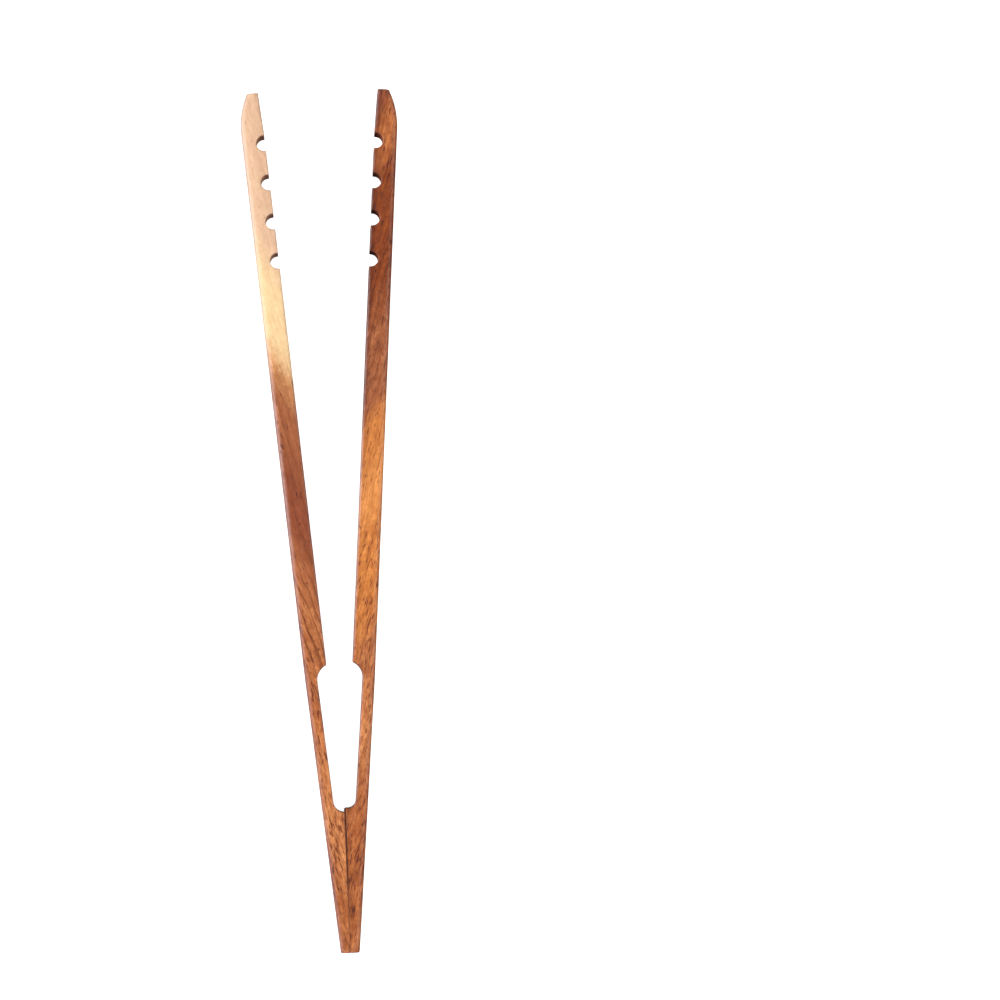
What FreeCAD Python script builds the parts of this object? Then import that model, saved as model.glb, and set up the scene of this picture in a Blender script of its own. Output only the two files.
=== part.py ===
import FreeCAD, Part
import os

import Sketcher

# Wooden print tongs: two long sticks, sawn from a board, glued together at the butt.
# Each stick is thinned just above the glued butt, and that thin strip is the spring.
# Above it the stick is full width again and is a jaw, with half-round notches along
# the inner edge near the tip.
#
# One real stick is three nodes here, because its strip bends: butt, flexure and jaw.
# The sticks are drawn lying flat: Y runs from the butt to the tips, X goes across,
# Z is the board's thickness. Every outline is drawn for the right stick, and the left
# stick is the same drawing turned over about the Y axis.

# Driving dimensions, in millimetres and degrees.
DIMENSIONS = [
    ("total_length", 250.0),  # from the butt's end face to the tips
    ("board_thickness", 10.0),
    ("stick_width", 6.7),  # across a jaw
    ("flexure_width", 3.6),  # across the thin strip
    ("butt_half_width", 2.75),  # from the glue line to the outer edge, at the end face
    ("butt_angle", 5.34),  # outer edge of butt and flexure, from the Y axis
    ("jaw_angle", 4.53),  # outer edge of the jaw, from the Y axis
    ("flexure_start", 46.0),  # Y where the butt node ends
    ("flexure_end", 79.1),  # Y where the outer edge passes into the jaw
    ("shoulder_radius", 4.7),  # round at the upper end of the gap
    ("right_crotch_height", 41.7),  # Y of the gap's floor, on the right stick
    ("right_crotch_radius", 2.4),
    ("left_crotch_height", 40.5),
    ("left_crotch_radius", 3.1),
    ("tip_flat", 3.1),  # flat end of the tip, next to the inner edge
    ("tip_radius", 20.6),  # outer edge of the tip, curving in
    ("notch_radius", 2.2),
    ("notch_depth", 2.6),
    ("notch_first", 14.9),  # tip to the first notch's centre
    ("notch_pitch", 11.4),
    ("notch_count", 4),
    ("outer_round", 1.4),  # rounding of the long outer edges
    ("inner_round", 0.7),  # rounding of the long inner edges
    ("glue_thickness", 0.15),
]

SHEET = "Sizes"
NEAR = 1e-4  # two midpoints closer than this are the same edge's

doc = FreeCAD.newDocument("PrintTongs")
sheet = doc.addObject("Spreadsheet::Sheet", SHEET)
for row, (alias, value) in enumerate(DIMENSIONS, start=1):
    sheet.set(f"A{row}", alias)
    sheet.set(f"B{row}", str(value))
    sheet.setAlias(f"B{row}", alias)
doc.recompute()


def size(alias):
    """A driving dimension, as the sheet holds it."""
    return float(sheet.get(alias))


def tilted(angle):
    """The unit vector that leans outwards from +Y by the angle, in degrees."""
    return FreeCAD.Rotation(FreeCAD.Vector(0, 0, 1), -angle).multVec(FreeCAD.Vector(0, 1, 0))


def datum(body, role):
    """One of the body's own origin planes or axes."""
    return next(f for f in body.Origin.OriginFeatures if f.Role == role)


def new_body(label):
    """An empty body whose Label is the node's name."""
    body = doc.addObject("PartDesign::Body", label)
    body.Label = label
    return body


def new_sketch(body, name):
    """A sketch on the body's own XY plane, which is the board's lower face."""
    sketch = body.newObject("Sketcher::SketchObject", body.Name + "_" + name)
    sketch.AttachmentSupport = [(datum(body, "XY_Plane"), "")]
    sketch.MapMode = "FlatFace"
    return sketch


def bind(sketch, constraint, expression):
    """Adds a dimension to the sketch and ties it to the sheet."""
    index = sketch.addConstraint(constraint)
    sketch.setExpression(f"Constraints[{index}]", expression)


def loop(sketch, curves, smooth=()):
    """Adds curves that follow each other into one closed outline, smooth after the curves named."""
    sketch.addGeometry(curves, False)
    for i, curve in enumerate(curves):
        follower = (i + 1) % len(curves)
        kind = "Tangent" if i in smooth else "Coincident"
        leaving, joining = shared_ends(curve, curves[follower])
        sketch.addConstraint(Sketcher.Constraint(kind, i, leaving, follower, joining))


def shared_ends(curve, following):
    """Which end of each curve, 1 for its start and 2 for its end, is the point they share."""
    ends = [(a, b) for a in (1, 2) for b in (1, 2)]
    return min(ends, key=lambda e: end_of(curve, e[0]).distanceToPoint(end_of(following, e[1])))


def end_of(curve, which):
    return curve.StartPoint if which == 1 else curve.EndPoint


def line(a, b):
    return Part.LineSegment(a, b)


def arc(centre, radius, a, b):
    """The counter-clockwise arc about the centre that runs from a to b."""
    turn = [FreeCAD.Vector(1, 0, 0).getAngle(p - centre) for p in (a, b)]
    signed = [t if (p - centre).y >= 0 else -t for t, p in zip(turn, (a, b))]
    circle = Part.Circle(centre, FreeCAD.Vector(0, 0, 1), radius)
    return Part.ArcOfCircle(circle, signed[0], signed[1])


def pad(body, sketch):
    """The outline, made as thick as the board."""
    feature = body.newObject("PartDesign::Pad", body.Name + "_pad")
    feature.Profile = sketch
    feature.setExpression("Length", f"{SHEET}.board_thickness")
    doc.recompute()
    return feature


def middle(edge):
    return edge.valueAt((edge.FirstParameter + edge.LastParameter) / 2)


def round_over(body, base, sketch, indices, alias):
    """Rounds both long edges that stand on the sketch's curves."""
    targets = [middle(sketch.Geometry[i].toShape()) for i in indices]
    names = []
    for number, edge in enumerate(base.Shape.Edges, start=1):
        at = middle(edge)
        flat = FreeCAD.Vector(at.x, at.y, 0)
        if any(flat.distanceToPoint(t) < NEAR for t in targets):
            names.append(f"Edge{number}")
    feature = body.newObject("PartDesign::Fillet", f"{body.Name}_{alias}")
    feature.Base = (base, names)
    feature.setExpression("Radius", f"{SHEET}.{alias}")
    doc.recompute()
    return feature


def place(body, side, local="placement(vector(0; 0; 0); rotation(vector(0; 0; 1); 0))"):
    """Puts a right-stick body in the pair's frame, turned over for the left stick."""
    turn, lift = ("180", f"{SHEET}.board_thickness") if side == "left" else ("0", "0")
    pair = f"placement(vector(0; -{SHEET}.total_length / 2; {lift}); rotation(vector(0; 1; 0); {turn}))"
    body.setExpression("Placement", f"{pair} * {local}")


def outer_edge(y):
    """The point of the butt's outer edge at this Y, as numbers."""
    slope = tilted(size("butt_angle"))
    return FreeCAD.Vector(size("butt_half_width") + y * slope.x / slope.y, y, 0)


def outer_edge_x(alias):
    """The same X as a sheet expression, at the Y that the alias names."""
    return f"{SHEET}.butt_half_width + {SHEET}.{alias} * tan({SHEET}.butt_angle)"


def make_butt(side):
    """The glued end of a stick, up to where the gap between the sticks has opened."""
    body = new_body(f"{side}_arm_butt")
    sketch = new_sketch(body, "outline")
    floor_y, radius = size(f"{side}_crotch_height"), size(f"{side}_crotch_radius")
    along = tilted(size("butt_angle"))
    inwards = FreeCAD.Vector(-along.y, along.x, 0)
    glue_x = size("glue_thickness") / 2
    top_y = size("flexure_start")

    heel_in = FreeCAD.Vector(glue_x, 0, 0)
    heel_out = FreeCAD.Vector(size("butt_half_width"), 0, 0)
    top_out = outer_edge(top_y)
    top_in = top_out - FreeCAD.Vector(size("flexure_width") / along.y, 0, 0)
    # the crotch's round touches the strip's inner edge and the gap's floor
    drop = (top_y - (floor_y + radius - radius * inwards.y)) / along.y
    strip_foot = top_in - along * drop
    centre = strip_foot + inwards * radius
    floor_out = centre - FreeCAD.Vector(0, radius, 0)
    floor_in = FreeCAD.Vector(glue_x, floor_out.y, 0)

    end, outer, cut, strip, crotch, floor, glued = range(7)
    loop(sketch, [
        line(heel_in, heel_out),
        line(heel_out, top_out),
        line(top_out, top_in),
        line(top_in, strip_foot),
        arc(centre, radius, floor_out, strip_foot),
        line(floor_out, floor_in),
        line(floor_in, heel_in),
    ], smooth=(strip, crotch))
    for i in (end, cut, floor):
        sketch.addConstraint(Sketcher.Constraint("Horizontal", i))
    sketch.addConstraint(Sketcher.Constraint("Vertical", glued))
    sketch.addConstraint(Sketcher.Constraint("PointOnObject", end, 1, -1))
    sketch.addConstraint(Sketcher.Constraint("Parallel", outer, strip))
    bind(sketch, Sketcher.Constraint("DistanceX", -1, 1, end, 1, glue_x), f"{SHEET}.glue_thickness / 2")
    bind(sketch, Sketcher.Constraint("DistanceX", -1, 1, end, 2, heel_out.x), f"{SHEET}.butt_half_width")
    bind(sketch, Sketcher.Constraint("DistanceX", -1, 1, outer, 2, top_out.x), outer_edge_x("flexure_start"))
    bind(sketch, Sketcher.Constraint("DistanceY", -1, 1, outer, 2, top_y), f"{SHEET}.flexure_start")
    bind(sketch, Sketcher.Constraint("Distance", cut, 2, outer, size("flexure_width")),
         f"{SHEET}.flexure_width")
    bind(sketch, Sketcher.Constraint("DistanceY", -1, 1, floor, 2, floor_y), f"{SHEET}.{side}_crotch_height")
    bind(sketch, Sketcher.Constraint("Radius", crotch, radius), f"{SHEET}.{side}_crotch_radius")

    rounded = round_over(body, pad(body, sketch), sketch, [outer], "outer_round")
    round_over(body, rounded, sketch, [strip], "inner_round")
    place(body, side)
    return body


def make_flexure(side):
    """The thin strip that bends when the tongs are squeezed."""
    body = new_body(f"{side}_arm_flexure")
    sketch = new_sketch(body, "outline")
    along = tilted(size("butt_angle"))
    across_jaw = tilted(size("jaw_angle") - 90)
    low_out = outer_edge(size("flexure_start"))
    low_in = low_out - FreeCAD.Vector(size("flexure_width") / along.y, 0, 0)
    high_out = outer_edge(size("flexure_end"))
    high_in = high_out + across_jaw * size("flexure_width")

    outer, top, inner, bottom = range(4)
    loop(sketch, [
        line(low_out, high_out),
        line(high_out, high_in),
        line(high_in, low_in),
        line(low_in, low_out),
    ])
    sketch.addConstraint(Sketcher.Constraint("Horizontal", bottom))
    bind(sketch, Sketcher.Constraint("DistanceX", -1, 1, outer, 1, low_out.x), outer_edge_x("flexure_start"))
    bind(sketch, Sketcher.Constraint("DistanceY", -1, 1, outer, 1, low_out.y), f"{SHEET}.flexure_start")
    bind(sketch, Sketcher.Constraint("DistanceX", -1, 1, outer, 2, high_out.x), outer_edge_x("flexure_end"))
    bind(sketch, Sketcher.Constraint("DistanceY", -1, 1, outer, 2, high_out.y), f"{SHEET}.flexure_end")
    bind(sketch, Sketcher.Constraint("Distance", inner, 2, outer, size("flexure_width")),
         f"{SHEET}.flexure_width")
    bind(sketch, Sketcher.Constraint("Distance", top, size("flexure_width")), f"{SHEET}.flexure_width")
    bind(sketch, Sketcher.Constraint("DistanceY", top, 1, top, 2, high_in.y - high_out.y),
         f"{SHEET}.flexure_width * sin({SHEET}.jaw_angle)")

    rounded = round_over(body, pad(body, sketch), sketch, [outer], "outer_round")
    round_over(body, rounded, sketch, [inner], "inner_round")
    place(body, side)
    return body


def jaw_length():
    """Length of the jaw's outer side, so that the inner corner of the tip is at full length."""
    lean = tilted(size("jaw_angle"))
    return (size("total_length") - size("flexure_end") - size("stick_width") * lean.x) / lean.y


JAW_LENGTH = (
    f"({SHEET}.total_length - {SHEET}.flexure_end - {SHEET}.stick_width * sin({SHEET}.jaw_angle))"
    f" / cos({SHEET}.jaw_angle)"
)


def make_jaw(side):
    """A jaw, drawn with its outer edge along Y and its root at the flexure's end."""
    body = new_body(f"{side}_arm_jaw")
    sketch = new_sketch(body, "outline")
    width, strip, length = size("stick_width"), size("flexure_width"), jaw_length()
    shoulder, bend = size("shoulder_radius"), size("tip_radius")
    shoulder_centre = FreeCAD.Vector(-strip - shoulder, 0, 0)
    shoulder_rise = (shoulder ** 2 - (shoulder + strip - width) ** 2) ** 0.5
    tip_inset = width - size("tip_flat")
    bend_length = (bend ** 2 - (bend - tip_inset) ** 2) ** 0.5

    root_out = FreeCAD.Vector(0, 0, 0)
    bend_start = FreeCAD.Vector(0, length - bend_length, 0)
    tip_out = FreeCAD.Vector(-tip_inset, length, 0)
    tip_in = FreeCAD.Vector(-width, length, 0)
    shoulder_top = FreeCAD.Vector(-width, shoulder_rise, 0)
    root_in = FreeCAD.Vector(-strip, 0, 0)
    bend_centre = bend_start - FreeCAD.Vector(bend, 0, 0)

    outer, tip_bend, tip, inner, throat, root = range(6)
    loop(sketch, [
        line(root_out, bend_start),
        arc(bend_centre, bend, bend_start, tip_out),
        line(tip_out, tip_in),
        line(tip_in, shoulder_top),
        arc(shoulder_centre, shoulder, root_in, shoulder_top),
        line(root_in, root_out),
    ], smooth=(outer,))
    sketch.addConstraint(Sketcher.Constraint("Coincident", outer, 1, -1, 1))
    sketch.addConstraint(Sketcher.Constraint("Vertical", outer))
    sketch.addConstraint(Sketcher.Constraint("Vertical", inner))
    sketch.addConstraint(Sketcher.Constraint("Horizontal", tip))
    sketch.addConstraint(Sketcher.Constraint("Horizontal", root))
    sketch.addConstraint(Sketcher.Constraint("PointOnObject", throat, 3, -1))
    bind(sketch, Sketcher.Constraint("DistanceY", -1, 1, tip, 2, length), JAW_LENGTH)
    bind(sketch, Sketcher.Constraint("Distance", tip, size("tip_flat")), f"{SHEET}.tip_flat")
    bind(sketch, Sketcher.Constraint("Radius", tip_bend, bend), f"{SHEET}.tip_radius")
    bind(sketch, Sketcher.Constraint("Distance", root, strip), f"{SHEET}.flexure_width")
    bind(sketch, Sketcher.Constraint("Radius", throat, shoulder), f"{SHEET}.shoulder_radius")
    bind(sketch, Sketcher.Constraint("Distance", tip, 2, outer, width), f"{SHEET}.stick_width")

    rounded = round_over(body, pad(body, sketch), sketch, [outer, tip_bend], "outer_round")
    rounded = round_over(body, rounded, sketch, [inner], "inner_round")
    cut_notches(body, rounded)
    place(body, side, f"placement(vector({outer_edge_x('flexure_end')}; {SHEET}.flexure_end; 0);"
                      f" rotation(vector(0; 0; 1); -{SHEET}.jaw_angle))")
    return body


def cut_notches(body, before):
    """Drills the first notch through the inner edge and repeats it towards the root."""
    radius = size("notch_radius")
    centre_x = size("notch_depth") - size("stick_width") - radius
    centre_y = jaw_length() - size("notch_first")
    sketch = new_sketch(body, "notch")
    sketch.addGeometry(Part.Circle(FreeCAD.Vector(centre_x, centre_y, 0), FreeCAD.Vector(0, 0, 1), radius))
    bind(sketch, Sketcher.Constraint("Radius", 0, radius), f"{SHEET}.notch_radius")
    bind(sketch, Sketcher.Constraint("DistanceX", 0, 3, -1, 1, -centre_x),
         f"{SHEET}.stick_width + {SHEET}.notch_radius - {SHEET}.notch_depth")
    bind(sketch, Sketcher.Constraint("DistanceY", -1, 1, 0, 3, centre_y),
         f"{JAW_LENGTH} - {SHEET}.notch_first")
    pocket = body.newObject("PartDesign::Pocket", body.Name + "_notch_cut")
    pocket.Profile = sketch
    pocket.Type = "ThroughAll"
    pocket.Reversed = True
    doc.recompute()
    pattern = body.newObject("PartDesign::LinearPattern", body.Name + "_notches")
    pattern.Originals = [pocket]
    pattern.Direction = (datum(body, "Y_Axis"), [""])
    pattern.Reversed = True
    pattern.setExpression("Length", f"{SHEET}.notch_pitch * ({SHEET}.notch_count - 1)")
    pattern.setExpression("Occurrences", f"{SHEET}.notch_count")
    body.Tip = pattern
    doc.recompute()
    each = (before.Shape.Volume - pattern.Shape.Volume) / size("notch_count")
    half_disc = 1.2 * radius ** 2 * size("board_thickness")
    if not half_disc < each < 2 * half_disc:
        raise RuntimeError(f"{body.Label}: a notch removes {each:.1f} cubic mm")


def make_glue_line():
    """The film of glue between the two butts."""
    film = doc.addObject("Part::Box", "glue_line")
    film.Label = "glue_line"
    film.setExpression("Length", f"{SHEET}.glue_thickness")
    film.setExpression("Width", f"{SHEET}.left_crotch_height")
    film.setExpression("Height", f"{SHEET}.board_thickness")
    film.setExpression("Placement.Base.x", f"-{SHEET}.glue_thickness / 2")
    film.setExpression("Placement.Base.y", f"-{SHEET}.total_length / 2")
    return film


nodes = [make_glue_line()]
for side_name in ("left", "right"):
    nodes += [make_butt(side_name), make_flexure(side_name), make_jaw(side_name)]
doc.recompute()

for obj in doc.Objects:
    if "Invalid" in obj.State or "Error" in obj.State:
        raise RuntimeError(f"{obj.Name} failed: {obj.State}")
for node in nodes:
    if node.Shape.isNull() or not node.Shape.isValid() or len(node.Shape.Solids) != 1:
        raise RuntimeError(f"{node.Label} is not one valid solid")

os.makedirs("parts", exist_ok=True)
for node in nodes:
    node.Shape.exportStep(f"parts/{node.Label}.step")
    box = node.Shape.optimalBoundingBox()
    print(f"{node.Label}: {node.Shape.Volume:.1f} mm3, X {box.XMin:.2f} to {box.XMax:.2f}, "
          f"Y {box.YMin:.2f} to {box.YMax:.2f}, Z {box.ZMin:.2f} to {box.ZMax:.2f}")
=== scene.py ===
import math

import bmesh
import bpy
import numpy as np
from mathutils import Matrix, Vector, noise


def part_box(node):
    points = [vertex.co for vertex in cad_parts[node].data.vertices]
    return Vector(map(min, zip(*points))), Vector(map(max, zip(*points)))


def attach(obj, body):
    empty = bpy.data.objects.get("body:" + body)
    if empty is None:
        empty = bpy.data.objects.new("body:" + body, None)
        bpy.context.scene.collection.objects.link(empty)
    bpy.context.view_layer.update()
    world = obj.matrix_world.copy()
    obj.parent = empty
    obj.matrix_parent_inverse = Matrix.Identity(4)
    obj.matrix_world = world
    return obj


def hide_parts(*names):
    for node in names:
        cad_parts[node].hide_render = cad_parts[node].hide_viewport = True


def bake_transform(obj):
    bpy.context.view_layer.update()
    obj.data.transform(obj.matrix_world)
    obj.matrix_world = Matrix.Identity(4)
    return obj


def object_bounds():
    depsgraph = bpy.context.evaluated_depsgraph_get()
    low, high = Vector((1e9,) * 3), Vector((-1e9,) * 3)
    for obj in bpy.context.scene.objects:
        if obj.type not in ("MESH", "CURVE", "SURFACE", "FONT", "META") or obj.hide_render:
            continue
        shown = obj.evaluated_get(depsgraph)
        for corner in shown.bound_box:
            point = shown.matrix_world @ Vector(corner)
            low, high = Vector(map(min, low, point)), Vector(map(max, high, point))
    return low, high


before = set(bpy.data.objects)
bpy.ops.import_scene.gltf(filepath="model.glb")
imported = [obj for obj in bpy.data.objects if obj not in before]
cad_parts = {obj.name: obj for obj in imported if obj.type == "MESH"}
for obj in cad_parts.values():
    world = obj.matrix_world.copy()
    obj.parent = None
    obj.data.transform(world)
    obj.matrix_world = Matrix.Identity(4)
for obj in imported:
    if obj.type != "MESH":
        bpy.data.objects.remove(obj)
cad_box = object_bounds()

# ---------------------------------------------------------------- measures

# The tongs' own measures, in millimetres and degrees, in the frame's axes but with Y counted from the
# butt's end face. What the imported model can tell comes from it; the rest repeats the design.
MM = 0.001
BUTT_Y = cad_box[0].y / MM
TOTAL_LENGTH = (cad_box[1].y - cad_box[0].y) / MM
THICKNESS = (cad_box[1].z - cad_box[0].z) / MM
FLEXURE_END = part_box("right_arm_jaw")[0].y / MM - BUTT_Y
CROTCH_HEIGHT = {"left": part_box("glue_line")[1].y / MM - BUTT_Y, "right": 41.7}
CROTCH_RADIUS = {"left": 3.1, "right": 2.4}
GLUE_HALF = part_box("glue_line")[1].x / MM
BUTT_HALF_WIDTH = 2.75
BUTT_ANGLE = math.radians(5.34)
JAW_ANGLE = math.radians(4.53)
STICK_WIDTH = 6.7
STRIP_WIDTH = 3.6
SHOULDER_RADIUS = 4.7
TIP_FLAT = 3.4
TIP_TAPER = 0.4
TIP_RADIUS = 25.0
NOTCH_RADIUS = 2.2
NOTCH_DEPTH = 2.6
NOTCH_FIRST = 14.9
NOTCH_PITCH = 11.4
NOTCH_COUNT = 4

# How far each stick's handwork strays from the design: its shoulder, and its notches from the tip down.
SHOULDER_DROP = {"left": 0.9, "right": 0.3}
NOTCH_SHIFT = {"left": (0.0, -0.1, -0.2, -0.3), "right": (-0.2, -0.5, 0.0, -0.6)}

# Roundings of the long edges, by the stretch of outline that they follow, and of the two ends.
OUTER_ROUND = 1.4
INNER_ROUND = 0.7
STRIP_ROUND = 0.55
SHOULDER_ROUND = 0.4
NOTCH_ROUND = 0.3
GLUE_ROUND = 0.1
TIP_ROUND = 0.2
HEEL_ROUND = 0.35

# How far from a corner of the outline its own small curve starts.
CROTCH_CORNER = 0.15
SHOULDER_CORNER = 0.45
NOTCH_CORNER = 0.3

# Unevenness along the sticks: how far, in millimetres or as a share of a rounding; how often, in waves
# per millimetre; and a number that keeps it apart from the others.
WAVERS = {
    "inner_side": (0.06, 0.11, 0),
    "inner_scrapes": (0.02, 0.45, 4),
    "outer_side": (0.06, 0.07, 1),
    "underside": (0.03, 0.06, 2),
    "upper_side": (0.05, 0.08, 3),
    "inner_rounding": (0.3, 0.3, 5),
    "outer_rounding": (0.35, 0.12, 6),
}

# How much painted lilac-grey sheen the roundings get, on each stick's inner and outer side (so on its
# left-facing edges), up to what height, and how much of it is left above that height.
EDGE_SHEEN_PAINT = {"left": (0.1, 0.8), "right": (0.8, 0.15)}
FULL_SHEEN_UP_TO = {"left": 250, "right": 150}
SHEEN_SHARE_ABOVE = 0.3

# How finely the sticks are meshed.
STEP = 1.1
FINE_STEP = 0.35
ROUND_ROWS = 5
TOP_COLUMNS = (0.07, 0.22, 0.41, 0.6, 0.79, 0.93)
WALL_ROWS = (0.12, 0.5, 0.88)
CORNER_SHARES = (0, 0.25, 0.5, 0.75, 1)
HEEL_TURNS = (0.0, 30.0, 60.0)
TIP_TURNS = (18.0, 36.0, 54.0, 72.0, 90.0)

SEEDS = {"left": 1, "right": 2}


# ---------------------------------------------------------------- outline of a stick


def vec(x, y):
    return np.array([x, y], float)


def heading(angle):
    """Unit vector that leans outwards from +Y by the angle, and the one that points inwards from it."""
    return vec(math.sin(angle), math.cos(angle)), vec(-math.cos(angle), math.sin(angle))


BUTT_ALONG, BUTT_IN = heading(BUTT_ANGLE)
JAW_ALONG, JAW_IN = heading(JAW_ANGLE)
HEEL = vec(BUTT_HALF_WIDTH, 0)
STRIP_LENGTH = FLEXURE_END / BUTT_ALONG[1]
JAW_ROOT = HEEL + BUTT_ALONG * STRIP_LENGTH
JAW_LENGTH = (TOTAL_LENGTH - FLEXURE_END - (STICK_WIDTH - TIP_TAPER) * JAW_ALONG[0]) / JAW_ALONG[1]
TIP_BEND = math.sqrt(TIP_RADIUS ** 2 - (TIP_RADIUS - STICK_WIDTH + TIP_TAPER + TIP_FLAT) ** 2)


def on_jaw(inwards, along):
    """A point of the jaw, from its outer edge and its root."""
    return JAW_ROOT + JAW_IN * inwards + JAW_ALONG * along


def straight(a, b, step):
    """Points from a towards b, without b."""
    count = max(2, round(np.linalg.norm(b - a) / step))
    return [a + (b - a) * i / count for i in range(count)]


def averaged(values, **padding):
    """The values, each averaged with its neighbours. padding says how the ends go on."""
    reach = 4
    kernel = np.ones(2 * reach + 1) / (2 * reach + 1)
    return np.convolve(np.pad(values, reach, **padding), kernel, mode="valid")


class Outline:
    """Points in order, the rounding of the edge at each, and where the sharp corners are."""

    def __init__(self):
        self.points = []
        self.rounds = []
        self.reach = {}

    def stretch(self, points, rounding):
        self.points += points
        self.rounds += [rounding] * len(points)

    def corner(self, reach):
        """The next point is a sharp corner, which gives way to a curve that starts this far from it."""
        self.reach[len(self.points)] = reach

    def softened(self):
        """The points, with a short curve in place of each corner."""
        out = []
        for i, p in enumerate(self.points):
            if i not in self.reach:
                out.append(p)
                continue
            before, after = self.points[i - 1], self.points[i + 1]
            a = p + (before - p) * min(0.9, self.reach[i] / np.linalg.norm(before - p))
            b = p + (after - p) * min(0.9, self.reach[i] / np.linalg.norm(after - p))
            out += [a * (1 - t) ** 2 + 2 * p * t * (1 - t) + b * t ** 2 for t in CORNER_SHARES]
        return np.array(out)

    def eased_rounds(self):
        """The rounding at each softened point, small at the corners and changing gently elsewhere."""
        rounds = []
        for i, rounding in enumerate(self.rounds):
            if i in self.reach:
                rounds += [min(rounding, self.reach[i] * 0.6)] * len(CORNER_SHARES)
            else:
                rounds.append(rounding)
        return np.minimum(averaged(rounds, mode="edge"), np.array(rounds) + 0.03)


def draw_crotch(outline, side):
    """The glued side, the gap's floor and the thin strip's inner side, up to the shoulder."""
    height, radius = CROTCH_HEIGHT[side], CROTCH_RADIUS[side]
    foot = (height + radius - (STRIP_WIDTH + radius) * BUTT_IN[1]) / BUTT_ALONG[1]
    centre = HEEL + BUTT_ALONG * foot + BUTT_IN * (STRIP_WIDTH + radius)
    outline.stretch(straight(vec(GLUE_HALF, 0), vec(GLUE_HALF, height), STEP), GLUE_ROUND)
    outline.corner(CROTCH_CORNER)
    outline.stretch(straight(vec(GLUE_HALF, height), centre - vec(0, radius), FINE_STEP), NOTCH_ROUND)
    sweep = math.pi / 2 - BUTT_ANGLE
    count = math.ceil(radius * sweep / FINE_STEP)
    turns = [sweep * i / count for i in range(count)]
    outline.stretch([centre + radius * vec(math.sin(t), -math.cos(t)) for t in turns], NOTCH_ROUND)
    strip_foot = HEEL + BUTT_ALONG * foot + BUTT_IN * STRIP_WIDTH
    outline.stretch(straight(strip_foot, on_jaw(STRIP_WIDTH, -SHOULDER_DROP[side]), STEP), STRIP_ROUND)


def draw_shoulder(outline, side):
    """The round from the strip out to the jaw's full width. Returns how far up the jaw it ends."""
    drop = SHOULDER_DROP[side]
    sweep = math.acos((STRIP_WIDTH + SHOULDER_RADIUS - STICK_WIDTH) / SHOULDER_RADIUS)
    count = math.ceil(SHOULDER_RADIUS * sweep / FINE_STEP)
    turns = [sweep * i / count for i in range(count)]
    outline.stretch([
        on_jaw(STRIP_WIDTH + SHOULDER_RADIUS * (1 - math.cos(t)), SHOULDER_RADIUS * math.sin(t) - drop)
        for t in turns], SHOULDER_ROUND)
    outline.corner(SHOULDER_CORNER)
    return SHOULDER_RADIUS * math.sin(sweep) - drop


def draw_notches(outline, side, at):
    """The jaw's inner side from this height on, notch by notch. Returns where the last notch ends."""
    centre = STICK_WIDTH - NOTCH_DEPTH + NOTCH_RADIUS
    lip = math.asin((STICK_WIDTH - centre) / NOTCH_RADIUS)
    half_mouth = NOTCH_RADIUS * math.cos(lip)
    sweep = math.pi + 2 * lip
    count = math.ceil(NOTCH_RADIUS * sweep / FINE_STEP)
    turns = [-math.pi / 2 + lip - sweep * i / count for i in range(count)]
    for k in reversed(range(NOTCH_COUNT)):
        middle = JAW_LENGTH - NOTCH_FIRST - NOTCH_PITCH * k + NOTCH_SHIFT[side][k]
        start, end = on_jaw(STICK_WIDTH, at), on_jaw(STICK_WIDTH, middle - half_mouth)
        outline.stretch(straight(start, end, STEP), INNER_ROUND)
        outline.corner(NOTCH_CORNER)
        outline.stretch([
            on_jaw(centre + NOTCH_RADIUS * math.cos(t), middle + NOTCH_RADIUS * math.sin(t))
            for t in turns], NOTCH_ROUND)
        outline.corner(NOTCH_CORNER)
        at = middle + half_mouth
    return at


def inner_path(side):
    """The inner outline from the heel to the tip, and the rounding of its edges at each point."""
    outline = Outline()
    draw_crotch(outline, side)
    at = draw_shoulder(outline, side)
    at = draw_notches(outline, side, at)
    tip = on_jaw(STICK_WIDTH - TIP_TAPER, JAW_LENGTH - TIP_ROUND)
    outline.stretch(straight(on_jaw(STICK_WIDTH, at), tip, STEP) + [tip], INNER_ROUND)
    return outline.softened(), outline.eased_rounds()


def outer_point(reach):
    """The point of the outer outline at this distance from the heel."""
    if reach < STRIP_LENGTH:
        return HEEL + BUTT_ALONG * reach
    along = reach - STRIP_LENGTH
    bend = max(0.0, along - (JAW_LENGTH - TIP_BEND))
    return on_jaw(TIP_RADIUS - math.sqrt(TIP_RADIUS ** 2 - bend ** 2), along)


def outer_path(inner):
    """For each inner point, the outer point straight across the stick from it."""
    lower = (inner - HEEL) @ BUTT_ALONG
    upper = (inner - JAW_ROOT) @ JAW_ALONG + STRIP_LENGTH
    reach = np.where(upper > STRIP_LENGTH, upper, np.minimum(lower, STRIP_LENGTH))
    reach = np.maximum.accumulate(np.maximum(reach, 0))
    eased = averaged(reach, mode="reflect", reflect_type="odd")
    eased[0], eased[-1] = 0, reach[-1]
    return np.array([outer_point(r) for r in np.clip(eased, 0, reach[-1])])


def inner_normals(path):
    """Unit normals of the inner path, out of the wood."""
    tangent = np.gradient(path, axis=0)
    tangent /= np.linalg.norm(tangent, axis=1)[:, None]
    return np.stack([-tangent[:, 1], tangent[:, 0]], axis=1)


# ---------------------------------------------------------------- meshes


def wander(seed, x):
    """Smooth seeded unevenness, from 0 to 1."""
    return 0.5 + 0.5 * noise.noise(Vector((x + seed * 17.3, -seed * 5.1, seed * 3.7)))


def waver(kind, seed, along):
    """One kind of unevenness at this place along a stick."""
    depth, pace, apart = WAVERS[kind]
    return depth * wander(seed + apart, along * pace)


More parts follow.
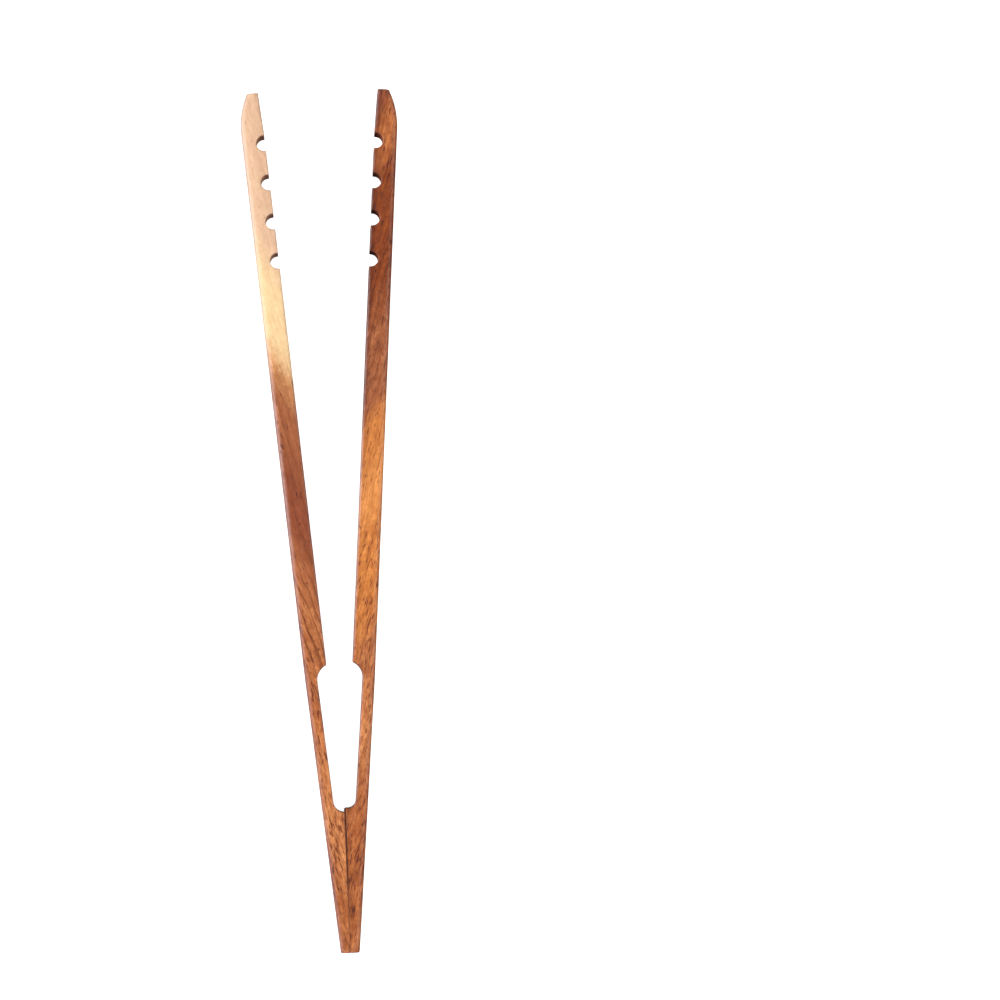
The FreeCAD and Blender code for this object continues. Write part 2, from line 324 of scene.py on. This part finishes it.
def section(inner, outer, n_in, n_out, r_in, r_out, low, high, sheen_shares):
    """One closed loop round the stick: (x, y, z, edge, wall) at each of its points.

    edge is how much painted lilac-grey sheen the roundings get, and wall is 1 on the upright faces. Both are
    0 on the flat ones."""
    quarter = [math.pi / 2 * i / ROUND_ROWS for i in range(ROUND_ROWS + 1)]

    def rounding(at, normal, radius, top, upwards, sheen_share):
        made = []
        for angle in quarter if upwards else reversed(quarter):
            inset = radius * (1 - math.cos(angle))
            rise = radius * (1 - math.sin(angle))
            level = high - rise if top else low + rise
            edge = max(0.0, math.cos(angle)) ** 1.3 * min(1.0, radius / STRIP_ROUND) * sheen_share
            made.append((*(at - normal * inset), level, edge, math.cos(angle)))
        return made

    def wall(at, bottom, top, upwards):
        shares = WALL_ROWS if upwards else reversed(WALL_ROWS)
        return [(*at, bottom + (top - bottom) * share, 0.0, 1.0) for share in shares]

    def across(a, b, level, columns):
        return [(*(a + (b - a) * share), level, 0.0, 0.0) for share in columns]

    in_edge, out_edge = inner - n_in * r_in, outer - n_out * r_out
    loop = wall(inner, low + r_in, high - r_in, True)
    loop += rounding(inner, n_in, r_in, True, True, sheen_shares[0])
    loop += across(in_edge, out_edge, high, TOP_COLUMNS)
    loop += rounding(outer, n_out, r_out, True, False, sheen_shares[1])
    loop += wall(outer, low + r_out, high - r_out, False)
    loop += rounding(outer, n_out, r_out, False, True, sheen_shares[1])
    loop += across(out_edge, in_edge, low, [1 - share for share in reversed(TOP_COLUMNS)])
    loop += rounding(inner, n_in, r_in, False, False, sheen_shares[0])
    return loop


def loft(name, loops):
    """A mesh through the loops, closed at both ends, and all the loops' points in one list."""
    points = np.array(loops, float)
    count, around = points.shape[:2]
    ring = range(around)
    faces = []
    for i in range(count - 1):
        a, b = i * around, (i + 1) * around
        faces += [(a + j, a + (j + 1) % around, b + (j + 1) % around, b + j) for j in ring]
    faces.append(tuple(reversed(ring)))
    faces.append(tuple(j + (count - 1) * around for j in ring))
    flat = points.reshape(-1, points.shape[2])
    mesh = bpy.data.meshes.new(name)
    mesh.from_pydata(flat[:, :3].tolist(), [], faces)
    return mesh, flat


def put_attribute(mesh, name, kind, values):
    attribute = mesh.attributes.new(name, kind, "POINT")
    key = "vector" if kind == "FLOAT_VECTOR" else "value"
    attribute.data.foreach_set(key, np.asarray(values, np.float32).ravel())


def place(mesh, mirror):
    """From the drawing in millimetres to the frame in metres, on the right or, with -1, on the left."""
    mesh.transform(Matrix.Diagonal((mirror * MM, MM, MM, 1)))
    mesh.transform(Matrix.Translation((0, BUTT_Y * MM, 0)))
    bm = bmesh.new()
    bm.from_mesh(mesh)
    bmesh.ops.recalc_face_normals(bm, faces=bm.faces)
    bm.to_mesh(mesh)
    bm.free()
    mesh.shade_smooth()


def stick_loops(side):
    """The stick's cross-sections from the heel to the tip, and how much end grain each inner wall shows,
    which also sets its painted shade.
    """
    seed = SEEDS[side]
    inner, r_in = inner_path(side)
    outer = outer_path(inner)
    n_in = inner_normals(inner)
    n_out = (outer - inner) / np.linalg.norm(outer - inner, axis=1)[:, None]
    loops, wall_end_grain_and_shade = [], []

    def add(i, shrink, forwards):
        """Section i, drawn in by shrink on every side and moved forwards along the stick."""
        along = (inner[i] + outer[i]) @ JAW_ALONG / 2
        glued = inner[i][0] < GLUE_HALF + 0.01
        scraped = waver("inner_side", seed, along) + waver("inner_scrapes", seed, along)
        pull_in = 0 if glued else scraped + shrink
        pull_out = waver("outer_side", seed, along) + shrink
        low = waver("underside", seed, along) + shrink
        high = THICKNESS - waver("upper_side", seed, along) - shrink
        round_in = r_in[i] * (0.85 + waver("inner_rounding", seed, along)) - shrink * 0.5
        round_out = OUTER_ROUND * (0.8 + waver("outer_rounding", seed, along)) - shrink * 0.5
        # the edges' painted sheen, full low down and weaker above
        painted_edge_sheen = 1 if inner[i][1] < FULL_SHEEN_UP_TO[side] else SHEEN_SHARE_ABOVE
        step = (JAW_ALONG if i > len(inner) // 2 else BUTT_ALONG) * forwards
        loops.append(section(
            inner[i] - n_in[i] * pull_in + step, outer[i] - n_out[i] * pull_out + step,
            n_in[i], n_out[i], max(0.07, round_in), max(0.3, round_out), low, high,
            [side_sheen * painted_edge_sheen for side_sheen in EDGE_SHEEN_PAINT[side]]))
        wall_end_grain_and_shade.append((n_in[i] @ JAW_ALONG) ** 2)

    for turn in np.radians(HEEL_TURNS):
        add(0, HEEL_ROUND * (1 - math.sin(turn)), HEEL_ROUND * (1 - math.cos(turn)))
    for i in range(1, len(inner)):
        if inner[i][1] > HEEL_ROUND + 0.2:
            add(i, 0.0, 0.0)
    for turn in np.radians(TIP_TURNS):
        add(len(inner) - 1, TIP_ROUND * (1 - math.cos(turn)), TIP_ROUND * math.sin(turn))
    return loops, wall_end_grain_and_shade


def stick_mesh(side):
    """One whole stick as a smooth tube, with the attributes that its wood is coloured by."""
    loops, wall_end_grain_and_shade = stick_loops(side)
    mesh, flat = loft(side + "_stick", loops)
    around = len(loops[0])
    place_round = np.arange(around)
    inner_half = (place_round <= around / 4) | (place_round >= around * 3 / 4)
    # end grain on the inner walls, which also carries painted shade into the notches
    end_grain_and_shade = np.repeat(wall_end_grain_and_shade, around) * flat[:, 4] * np.tile(inner_half, len(loops))
    end_grain_and_shade[:around] = 1
    end_grain_and_shade[-around * 2:] = 1
    put_attribute(mesh, "rest", "FLOAT_VECTOR", flat[:, :3])
    put_attribute(mesh, "edge", "FLOAT", flat[:, 3])
    put_attribute(mesh, "end_grain_and_shade", "FLOAT", end_grain_and_shade)
    place(mesh, -1 if side == "left" else 1)
    return mesh


def glue_mesh():
    """The film between the butts, a little below the wood's surface, with a bead in the crotch."""
    sections = 60
    bottom = 0.12
    top = CROTCH_HEIGHT["right"] - 0.25
    bevel = 0.12
    loops = []
    for i in range(sections + 1):
        y = bottom + (top - bottom) * i / sections
        share = y / CROTCH_HEIGHT["right"]
        half = GLUE_HALF + 0.01 + 0.07 * share * wander(7, y * 0.5)
        squeeze = max(0.0, (y - CROTCH_HEIGHT["left"]) / (top - CROTCH_HEIGHT["left"]))
        bead = 0.28 * math.sqrt(squeeze * max(0.0, 1.05 - squeeze)) if squeeze else 0
        dip = 0.03 + (0.06 + 0.08 * wander(8, y * 0.4)) * share
        loops.append([(x, y, z) for x, z in (
            (GLUE_HALF, THICKNESS / 2),
            (half, THICKNESS - dip - bevel),
            (half * 0.5, THICKNESS - dip),
            (-half * 0.5 - bead, THICKNESS - dip),
            (-half - bead, THICKNESS - dip - bevel),
            (-GLUE_HALF - bead, THICKNESS / 2),
            (-half - bead, dip + bevel),
            (-half * 0.5 - bead, dip),
            (half * 0.5, dip),
            (half, dip + bevel),
        )])
    mesh, _ = loft("glue_seam", loops)
    place(mesh, 1)
    return mesh


# ---------------------------------------------------------------- materials


def linear(colour):
    """An sRGB colour, 0 to 255, as the linear colour that nodes take."""
    shares = [c / 255 for c in colour]
    return tuple(s / 12.92 if s <= 0.04045 else ((s + 0.055) / 1.055) ** 2.4 for s in shares) + (1.0,)


class Graph:
    """A material's node tree, with a call for each kind of node used."""

    def __init__(self, name):
        self.material = bpy.data.materials.new(name)
        self.material.use_nodes = True
        self.tree = self.material.node_tree
        self.shader = self.tree.nodes["Principled BSDF"]

    def node(self, kind, **settings):
        made = self.tree.nodes.new(kind)
        for key, value in settings.items():
            setattr(made, key, value)
        return made

    def put(self, socket, value):
        """Links a node's output into the socket, or sets the socket."""
        if isinstance(value, bpy.types.NodeSocket):
            self.tree.links.new(value, socket)
        else:
            socket.default_value = value

    def attribute(self, name, output):
        made = self.node("ShaderNodeAttribute", attribute_name=name)
        return made.outputs[output]

    def math(self, operation, a, b=0.0, clamp=False):
        made = self.node("ShaderNodeMath", operation=operation, use_clamp=clamp)
        self.put(made.inputs[0], a)
        self.put(made.inputs[1], b)
        return made.outputs[0]

    def vector_math(self, operation, a, b):
        made = self.node("ShaderNodeVectorMath", operation=operation)
        self.put(made.inputs[0], a)
        self.put(made.inputs[1], b)
        return made.outputs[0]

    def length(self, vector):
        made = self.node("ShaderNodeVectorMath", operation="LENGTH")
        self.put(made.inputs[0], vector)
        return made.outputs["Value"]

    def parts(self, vector):
        """The vector's X, Y and Z."""
        made = self.node("ShaderNodeSeparateXYZ")
        self.put(made.inputs[0], vector)
        return made.outputs

    def turned(self, vector, angle):
        """The vector, turned about Z by an angle in radians."""
        made = self.node("ShaderNodeVectorRotate", rotation_type="Z_AXIS")
        self.put(made.inputs["Vector"], vector)
        made.inputs["Angle"].default_value = angle
        return made.outputs[0]

    def noise(self, vector, scale, detail, roughness, output="Fac"):
        """Noise over the vector. scale is one number, or one for each axis."""
        made = self.node("ShaderNodeTexNoise")
        if isinstance(scale, tuple):
            vector = self.vector_math("MULTIPLY", vector, scale)
            scale = 1.0
        self.put(made.inputs["Vector"], vector)
        made.inputs["Scale"].default_value = scale
        made.inputs["Detail"].default_value = detail
        made.inputs["Roughness"].default_value = roughness
        return made.outputs[output]

    def ranged(self, value, low, high, to_low=0.0, to_high=1.0):
        """The value, from low to high, as a smooth step from to_low to to_high."""
        made = self.node("ShaderNodeMapRange", interpolation_type="SMOOTHSTEP")
        self.put(made.inputs["Value"], value)
        for key, number in zip(("From Min", "From Max", "To Min", "To Max"), (low, high, to_low, to_high)):
            self.put(made.inputs[key], number)
        return made.outputs[0]

    def ramp(self, value, stops):
        """Colours along the value, each stop a position from 0 to 1 and a linear colour."""
        made = self.node("ShaderNodeValToRGB")
        self.put(made.inputs[0], value)
        elements = made.color_ramp.elements
        while len(elements) < len(stops):
            elements.new(0.5)
        for element, (position, colour) in zip(elements, stops):
            element.position = position
            element.color = colour
        return made.outputs[0]

    def mix(self, share, a, b, blend="MIX"):
        made = self.node("ShaderNodeMix", data_type="RGBA", blend_type=blend)
        self.put(made.inputs["Factor"], share)
        self.put(made.inputs[6], a)
        self.put(made.inputs[7], b)
        return made.outputs[2]

    def tinted(self, share, colour, tint):
        """The colour, with this share of it multiplied by the tint."""
        return self.mix(share, colour, self.mix(1.0, colour, tint, "MULTIPLY"))

    def bump(self, height, strength, depth):
        made = self.node("ShaderNodeBump")
        made.inputs["Strength"].default_value = strength
        made.inputs["Distance"].default_value = depth * MM
        self.put(made.inputs["Height"], height)
        self.put(self.shader.inputs["Normal"], made.outputs[0])


# The oiled wood's tones, as sRGB colours.
CREAM = (250, 214, 162)
SAPWOOD = (233, 192, 158)
TAN = (206, 144, 95)
HONEY = (231, 151, 83)
AMBER = (212, 131, 66)
COPPER = (207, 133, 82)
CHESTNUT = (190, 117, 71)
SIENNA = (179, 104, 57)
RUSSET = (168, 99, 62)
UMBER = (148, 78, 50)
WALNUT = (138, 66, 28)
# painted sheen on the left-facing edges: the darker lower colour and the paler upper one
LOWER_EDGE_SHEEN = (142, 112, 124)
UPPER_EDGE_SHEEN = (206, 178, 174)

# Each stick's wood. Every pair's first number is millimetres from the butt. tones has the wood's bands:
# pale sapwood towards the left tip, darker and lighter heartwood elsewhere. pores, figure, rings and
# inner say, from 0 to 1, how many pores there are, how lively the figure and how clear the rings are,
# and how much painted shade darkens the inner side. lean is the slant of the grain against the stick, in
# degrees, and bruise is how dark the crushed fibres beside the seam are, from 0 to 1.
LEFT_WOOD = {
    "seed": SEEDS["left"],
    "lean": 10.0,
    "bruise": 0.0,
    "tones": (
        (0, CHESTNUT), (12, SIENNA), (28, COPPER), (54, COPPER), (66, SIENNA), (80, CHESTNUT),
        (100, CHESTNUT), (122, UMBER), (134, UMBER), (150, RUSSET), (158, RUSSET), (167, TAN),
        (177, CREAM), (192, CREAM), (208, SAPWOOD), (250, SAPWOOD),
    ),
    "pores": (
        (0, 0.6), (14, 0.65), (22, 1.0), (32, 0.95), (44, 0.7), (88, 0.5), (112, 0.15), (250, 0.05),
    ),
    "figure": ((0, 1.0), (88, 1.0), (108, 0.5), (160, 0.45), (172, 1.0), (250, 1.0)),
    "rings": ((0, 0.2), (74, 0.3), (86, 1.0), (106, 0.9), (116, 0.3), (250, 0.15)),
    "inner": ((0, 0.1), (250, 0.1)),
}
RIGHT_WOOD = {
    "seed": SEEDS["right"],
    "lean": 12.0,
    "bruise": 0.9,
    "tones": (
        (0, CHESTNUT), (9, SIENNA), (38, SIENNA), (50, CHESTNUT), (62, COPPER), (74, CHESTNUT),
        (84, CHESTNUT), (98, AMBER), (118, AMBER), (132, HONEY), (146, AMBER), (153, AMBER),
        (160, RUSSET), (178, RUSSET), (196, WALNUT), (224, WALNUT), (233, SIENNA), (243, SIENNA),
        (249, UMBER),
    ),
    "pores": (
        (0, 0.5), (12, 0.65), (20, 1.0), (29, 1.0), (35, 0.4), (44, 0.4), (60, 0.7), (100, 0.65),
        (130, 0.35), (250, 0.4),
    ),
    "figure": ((0, 1.0), (120, 0.9), (140, 0.6), (154, 0.6), (170, 0.9), (250, 1.0)),
    "rings": ((0, 0.2), (130, 0.2), (160, 0.45), (190, 0.45), (220, 0.2)),
    "inner": ((0, 0.3), (150, 0.3), (165, 0.85), (250, 0.85)),
}

RING_PITCH = 1.7
# Two sizes of pore: width and length in millimetres, and the noise level that only the rarest reach.
PORE_SIZES = ((0.52, 3.4, 0.72), (0.38, 2.6, 0.715))


def profile(g, along, stops):
    """A plain number that changes along the stick."""
    return g.ramp(along, [(at / TOTAL_LENGTH, (value, value, value, 1)) for at, value in stops])


def rings(g, grain):
    """Thin dark growth lines, wandering a little as they follow the grain."""
    bend = g.noise(grain, (0.3, 0.03, 0.3), 2.0, 0.5)
    phase = g.math("ADD", g.math("DIVIDE", g.parts(grain)[0], RING_PITCH), g.math("MULTIPLY", bend, 2.4))
    away = g.math("ABSOLUTE", g.math("SUBTRACT", g.math("FRACT", phase), 0.5))
    return g.ranged(away, 0.05, 0.2, 1.0, 0.0)


def pores(g, grain, density):
    """Open pores: short dark flecks along the grain, and dots where it is cut across."""
    patches = g.noise(grain, (0.25, 0.08, 0.25), 2.0, 0.5)
    wanted = g.math("MULTIPLY", density, g.ranged(patches, 0.3, 0.6, 0.6, 1.15))
    sizes = []
    for width, length, rarest in PORE_SIZES:
        flecks = g.noise(grain, (1 / width, 1 / length, 1 / width), 0.6, 0.5)
        limit = g.math("SUBTRACT", rarest, g.math("MULTIPLY", wanted, 0.13))
        sizes.append(g.math("DIVIDE", g.math("SUBTRACT", flecks, limit), 0.07, clamp=True))
    return g.math("MAXIMUM", *sizes)


def grain_of(g, stick, lean):
    """Where in the wood a point of the stick is, with the grain along Y: slanted, and drifting a little."""
    drift = g.noise(stick, (0.1, 0.02, 0.1), 2.0, 0.5, output="Color")
    drift = g.vector_math("MULTIPLY", g.vector_math("SUBTRACT", drift, (0.5, 0.5, 0.5)), (5.0, 8.0, 5.0))
    return g.turned(g.vector_math("ADD", stick, drift), math.radians(lean))


def band_place(g, stick, grain):
    """How far along the stick a point counts as being, from 0 to 1: the bands' borders are ragged."""
    x, y, _ = g.parts(stick)
    ragged = g.noise(grain, (1.6, 0.3, 1.6), 3.0, 0.7)
    slanted = g.math("ADD", y, g.math("MULTIPLY", x, -1.6))
    raised = g.math("ADD", slanted, g.math("MULTIPLY", ragged, 12.0))
    return g.math("DIVIDE", g.math("SUBTRACT", raised, 6.0), TOTAL_LENGTH)


def tone_bands_and_side_shade(g, stick, along, look):
    """The wood's tone bands, with painted shade towards the inner side and painted light towards the outer
    one.
    """
    x = g.parts(stick)[0]
    colour = g.ramp(along, [(at / TOTAL_LENGTH, linear(tone)) for at, tone in look["tones"]])
    # painted shade on the inner side, then painted light on the outer side
    inner = g.ranged(x, -2.8, -0.6, profile(g, along, look["inner"]), 0.0)
    colour = g.tinted(inner, colour, (0.45, 0.36, 0.5, 1))
    return g.tinted(g.ranged(x, 0.5, 3.5), colour, (1.08, 1.08, 1.08, 1))


def figured(g, colour, lively, textures):
    """The colour, shaded by each texture between a dark and a light tint."""
    for value, dark, light in textures:
        shade = g.mix(g.ranged(value, 0.32, 0.68), dark, light)
        colour = g.tinted(lively, colour, shade)
    return colour


def bruised(g, rest):
    """A patch of crushed fibres beside the seam, about 12 mm from the butt's end."""
    away = g.vector_math("SUBTRACT", rest, (0.9, 12.0, THICKNESS))
    away = g.vector_math("MULTIPLY", away, (0.9, 0.25, 0.5))
    return g.ranged(g.length(away), 0.3, 1.0, 1.0, 0.0)


def stained(g, rest, colour):
    """The colour, darkened close to the seam, most of all near the crotch."""
    x, y, _ = g.parts(rest)
    crotch = CROTCH_HEIGHT["right"]
    beside = g.ranged(x, 0.08, 0.42, 1.0, 0.0)
    upwards = g.ranged(y, 6.0, 30.0, 0.1, 1.0)
    below = g.ranged(y, crotch, crotch + 1.0, 1.0, 0.0)
    stain = g.math("MULTIPLY", g.math("MULTIPLY", beside, upwards), below)
    return g.tinted(stain, colour, (0.26, 0.16, 0.11, 1))


def painted_edge_sheen(g, stick, mottle, colour):
    """The colour, with a painted lilac-grey sheen on the left-facing edges, paler on the upper half."""
    sheen_share = g.math("MULTIPLY", g.attribute("edge", "Fac"), g.ranged(mottle, 0.3, 0.7, 0.45, 0.8))
    height = g.ranged(g.parts(stick)[1], 85.0, 135.0)
    return g.mix(sheen_share, colour, g.mix(height, linear(LOWER_EDGE_SHEEN), linear(UPPER_EDGE_SHEEN)))


def oiled(g, fibres, pore, end):
    """A satin sheen along the fibres, dull in the pores and on end grain, with the pores sunk in."""
    satin = g.ranged(fibres, 0.3, 0.7, 0.45, 0.36)
    dry = g.math("MULTIPLY", g.math("MAXIMUM", pore, end), 0.25)
    g.put(g.shader.inputs["Roughness"], g.math("ADD", satin, dry))
    g.shader.inputs["IOR"].default_value = 1.45
    g.shader.inputs["Specular IOR Level"].default_value = 0.4
    g.bump(g.math("SUBTRACT", g.math("MULTIPLY", fibres, 0.25), pore), strength=0.4, depth=0.06)


def wood(name, look):
    """Oiled open-pored hardwood, as solid colour through the stick: its grain stays with the wood.

    The rest attribute holds the drawing's own millimetres, so X is across the stick and Y along it."""
    g = Graph(name)
    rest = g.attribute("rest", "Vector")
    stick = g.vector_math("ADD", g.turned(rest, JAW_ANGLE), (0, 0, look["seed"] * 40.0))
    grain = grain_of(g, stick, look["lean"])
    along = band_place(g, stick, grain)
    colour = tone_bands_and_side_shade(g, stick, along, look)

    # pale wood shows its figure and pores less
    brightness = g.node("ShaderNodeRGBToBW")
    g.put(brightness.inputs[0], colour)
    strength = g.ranged(brightness.outputs[0], 0.3, 0.6, 1.0, 0.25)
    lively = g.math("MULTIPLY", strength, profile(g, along, look["figure"]))

    fibres = g.noise(grain, (5.5, 0.3, 5.5), 2.0, 0.6)
    mottle = g.noise(stick, (0.5, 0.3, 0.5), 2.0, 0.6)
    colour = figured(g, colour, lively, (
        (g.noise(grain, (0.9, 0.06, 0.9), 2.0, 0.5), (0.82, 0.76, 0.7, 1), (1.16, 1.18, 1.2, 1)),
        (fibres, (0.85, 0.79, 0.73, 1), (1.12, 1.15, 1.18, 1)),
        (mottle, (0.84, 0.76, 0.7, 1), (1.14, 1.2, 1.22, 1)),
        (g.noise(grain, (2.6, 1.1, 2.6), 2.0, 0.6), (0.86, 0.8, 0.76, 1), (1.13, 1.18, 1.2, 1)),
    ))

    ring = g.math("MULTIPLY", rings(g, grain), profile(g, along, look["rings"]))
    ring = g.math("MULTIPLY", g.math("MULTIPLY", ring, strength), 0.8)
    pore = pores(g, grain, profile(g, along, look["pores"]))
    colour = g.tinted(ring, colour, (0.45, 0.34, 0.26, 1))
    colour = g.tinted(g.math("MULTIPLY", pore, strength), colour, (0.4, 0.26, 0.17, 1))
    torn = g.ranged(fibres, 0.3, 0.6, look["bruise"], look["bruise"] * 0.3)
    colour = g.tinted(g.math("MULTIPLY", bruised(g, rest), torn), colour, (0.3, 0.18, 0.13, 1))

    # end grain drinks more oil and is darkened, which also paints shade on the notch walls; a painted
    # lilac-grey sheen lies on the left-facing edges; and glue has stained the seam
    end = g.attribute("end_grain_and_shade", "Fac")
    colour = g.tinted(g.math("MULTIPLY", end, 0.9), colour, (0.34, 0.25, 0.29, 1))
    colour = stained(g, rest, painted_edge_sheen(g, stick, mottle, colour))
    colour = g.mix(1.0, colour, (LIGHT_SCALE, LIGHT_SCALE, LIGHT_SCALE, 1), "MULTIPLY")
    g.put(g.shader.inputs["Base Color"], colour)
    oiled(g, fibres, pore, end)
    return g.material


def glue_material():
    """Dark cured glue, paler away from the crotch, where the film is thinner."""
    g = Graph("cured_glue")
    position = g.node("ShaderNodeTexCoord").outputs["Object"]
    crotch = (BUTT_Y + CROTCH_HEIGHT["right"]) * MM
    faded = g.ranged(g.parts(position)[1], crotch - 0.036, crotch - 0.014, 0.9, 0.0)
    cloud = g.noise(position, 900.0, 3.0, 0.6)
    colour = g.mix(g.ranged(cloud, 0.3, 0.7), linear((44, 18, 10)), linear((74, 34, 18)))
    g.put(g.shader.inputs["Base Color"], g.mix(faded, colour, linear((158, 90, 55))))
    g.put(g.shader.inputs["Roughness"], g.ranged(cloud, 0.3, 0.7, 0.3, 0.5))
    g.shader.inputs["Specular IOR Level"].default_value = 0.15
    g.bump(cloud, strength=0.3, depth=0.05)
    return g.material


def floor_material():
    """A matt white ground, lit from within, so that it is even all over."""
    g = Graph("pale_floor")
    g.shader.inputs["Base Color"].default_value = (0.5, 0.5, 0.5, 1)
    g.shader.inputs["Roughness"].default_value = 0.9
    g.shader.inputs["Specular IOR Level"].default_value = 0.0
    g.shader.inputs["Emission Color"].default_value = (1, 1, 1, 1)
    g.shader.inputs["Emission Strength"].default_value = FLOOR_GLOW
    return g.material


# ---------------------------------------------------------------- light, floor and camera

# How much of its full brightness the wood's colour keeps, to suit the lights.
LIGHT_SCALE = 0.89
FLOOR_GLOW = 1.0
FLOOR_SIDE = 6.0
FLOOR_Z = -0.00005
# The sky's strength below and above a band of heights, where 0.5 is the horizon and 1 straight up.
SKY_BAND = (0.5, 0.95)
WORLD_LIGHT = (0.42, 0.1)
SOFTBOX_DISTANCE = 1.1
# each softbox: the direction it stands in, its width, its power and its colour
SOFTBOXES = (
    ((-1, 0.2, 0.3), 0.55, 9.0, (0.9, 0.93, 1.0)),
    ((-0.9, 0.3, 0.9), 0.9, 8.5, (1.0, 1.0, 1.0)),
    ((0.9, 0.1, 0.8), 1.0, 9.5, (1.0, 0.98, 0.95)),
    ((0.1, -1, 0.7), 0.9, 6.0, (1.0, 1.0, 1.0)),
)


def add_floor():
    half = FLOOR_SIDE / 2
    mesh = bpy.data.meshes.new("floor")
    corners = ((-half, -half), (half, -half), (half, half), (-half, half))
    mesh.from_pydata([(x, y, FLOOR_Z) for x, y in corners], [], [(0, 1, 2, 3)])
    mesh.materials.append(floor_material())
    floor = bpy.data.objects.new("floor", mesh)
    floor.visible_diffuse = False
    floor.visible_glossy = False
    bpy.context.scene.collection.objects.link(floor)


def add_sky():
    """Soft light from all round, stronger from the sides than from above."""
    world = bpy.data.worlds.new("studio")
    bpy.context.scene.world = world
    world.use_nodes = True
    nodes, links = world.node_tree.nodes, world.node_tree.links
    height = nodes.new("ShaderNodeSeparateXYZ")
    links.new(nodes.new("ShaderNodeTexCoord").outputs["Generated"], height.inputs[0])
    fall = nodes.new("ShaderNodeMapRange")
    links.new(height.outputs[2], fall.inputs["Value"])
    for key, number in zip(("From Min", "From Max", "To Min", "To Max"), SKY_BAND + WORLD_LIGHT):
        fall.inputs[key].default_value = number
    links.new(fall.outputs[0], nodes["Background"].inputs["Strength"])


def add_softboxes():
    for number, (direction, width, power, colour) in enumerate(SOFTBOXES):
        data = bpy.data.lights.new(f"softbox_{number}", "AREA")
        data.shape = "SQUARE"
        data.size = width
        data.energy = power
        data.color = colour
        lamp = bpy.data.objects.new(data.name, data)
        towards = Vector(direction).normalized()
        lamp.location = towards * SOFTBOX_DISTANCE
        lamp.rotation_euler = towards.to_track_quat("Z", "Y").to_euler()
        bpy.context.scene.collection.objects.link(lamp)


# The camera stands over the tongs' lower half, a little tilted towards the middle of its view.
CAMERA_HEIGHT = 1.2103
CAMERA_ABOVE = (-0.00733, -0.05427)
CAMERA_AIM = (0.04873, 0.00438)
CAMERA_ROLL = math.radians(-2.28)
FIELD_OF_VIEW = math.radians(13.742)


def add_camera():
    middle = (cad_box[0] + cad_box[1]) / 2
    data = bpy.data.cameras.new("camera")
    data.angle = FIELD_OF_VIEW
    data.clip_start = 0.05
    data.clip_end = 20
    camera = bpy.data.objects.new("camera", data)
    camera.location = (middle.x + CAMERA_ABOVE[0], middle.y + CAMERA_ABOVE[1], CAMERA_HEIGHT)
    aim = Vector((middle.x + CAMERA_AIM[0], middle.y + CAMERA_AIM[1], 0)) - camera.location
    forward = aim.normalized()
    up = Matrix.Rotation(CAMERA_ROLL, 3, "Z") @ Vector((0, 1, 0))
    right = forward.cross(up).normalized()
    axes = Matrix((right, right.cross(forward), -forward)).transposed()
    camera.rotation_mode = "QUATERNION"
    camera.rotation_quaternion = axes.to_quaternion()
    bpy.context.scene.collection.objects.link(camera)
    bpy.context.scene.camera = camera


# ---------------------------------------------------------------- pieces


def add_piece(mesh, material):
    piece = bpy.data.objects.new(mesh.name, mesh)
    bpy.context.scene.collection.objects.link(piece)
    mesh.materials.append(material)
    return piece


def add_stick(side, material):
    """A whole stick in one piece, shown in place of the imported butt, strip and jaw parts."""
    piece = add_piece(stick_mesh(side), material)
    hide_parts(side + "_arm_butt", side + "_arm_flexure", side + "_arm_jaw")
    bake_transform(piece)


def add_glue():
    """The seam of glue between the sticks, which stays with the butt."""
    seam = add_piece(glue_mesh(), glue_material())
    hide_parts("glue_line")
    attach(seam, "butt")


bpy.context.scene.view_settings.view_transform = "Standard"
add_camera()
add_sky()
add_softboxes()
add_floor()
add_stick("left", wood("left_wood", LEFT_WOOD))
add_stick("right", wood("right_wood", RIGHT_WOOD))
add_glue()
